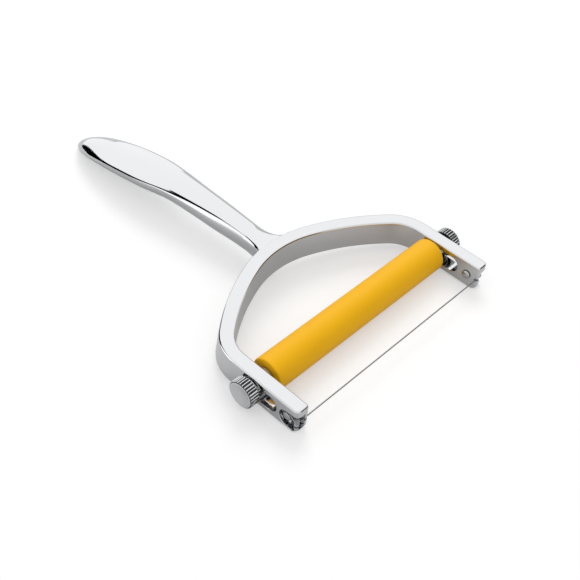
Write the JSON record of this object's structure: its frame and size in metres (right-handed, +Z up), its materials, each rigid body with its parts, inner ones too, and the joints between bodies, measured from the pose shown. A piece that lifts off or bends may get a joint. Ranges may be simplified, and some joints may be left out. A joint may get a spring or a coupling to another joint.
{
  "type": "wire cheese cutter",
  "caption": "Hand cheese slicer: chrome fork and handle, taut steel wire across the tips, and a yellow roller on a sliding axle clamped by thumb screws.",
  "frame": {"origin": "on the table, under the middle of the tool's box, as it lies on its two tips and its tail", "axes": "+X along the wire, towards the right arm; +Y towards the handle; +Z up, with the roller's high side up"},
  "size_m": [0.1262, 0.2042, 0.0177],
  "materials": {
    "chrome_casting": "polished chrome plate on a zinc casting",
    "stainless_steel": "drawn and turned stainless steel",
    "chrome_thumb": "chrome plated knurled brass",
    "yellow_plastic": "moulded yellow plastic, satin"
  },
  "bodies": {
    "frame": {"frame_casting": "chrome_casting", "cutting_wire": "stainless_steel", "left_wire_post": "stainless_steel", "right_wire_post": "stainless_steel", "left_anchor_pin": "stainless_steel", "right_anchor_pin": "stainless_steel", "left_wire_ferrule": "stainless_steel", "right_wire_ferrule": "stainless_steel"},
    "carriage": {"roller_axle": "stainless_steel"},
    "roller": {"roller_sleeve": "yellow_plastic", "left_roller_bush": "yellow_plastic", "right_roller_bush": "yellow_plastic"},
    "left_clamp": {"left_washer": "stainless_steel"},
    "right_clamp": {"right_washer": "stainless_steel"},
    "left_screw": {"left_thumb_screw": "chrome_thumb"},
    "right_screw": {"right_thumb_screw": "chrome_thumb"}
  },
  "joints": [
    {"name": "axle_slide", "type": "slide", "parent": "frame", "child": "carriage", "axis": [0, -0.9976, -0.0691], "range_m": [-0.0006, 0.0098]},
    {"name": "roller_spin", "type": "hinge", "parent": "carriage", "child": "roller", "pos_m": [0, -0.07845, 0.00804], "axis": [1, 0, 0], "continuous": true},
    {"name": "left_clamp_slide", "type": "slide", "parent": "carriage", "child": "left_clamp", "axis": [-1, 0, 0], "range_m": [0, 0.0014]},
    {"name": "right_clamp_slide", "type": "slide", "parent": "carriage", "child": "right_clamp", "axis": [1, 0, 0], "range_m": [0, 0.0014]},
    {"name": "left_screw_turn", "type": "hinge", "parent": "left_clamp", "child": "left_screw", "pos_m": [-0.0609, -0.07845, 0.00804], "axis": [-1, 0, 0], "range_deg": [0, 720]},
    {"name": "right_screw_turn", "type": "hinge", "parent": "right_clamp", "child": "right_screw", "pos_m": [0.0609, -0.07845, 0.00804], "axis": [1, 0, 0], "range_deg": [0, 720]}
  ],
  "couplings": [
    {"joint": "left_screw_turn", "follows": "left_clamp_slide", "rad_per_m": 8975.9},
    {"joint": "right_screw_turn", "follows": "right_clamp_slide", "rad_per_m": 8975.9}
  ]
}
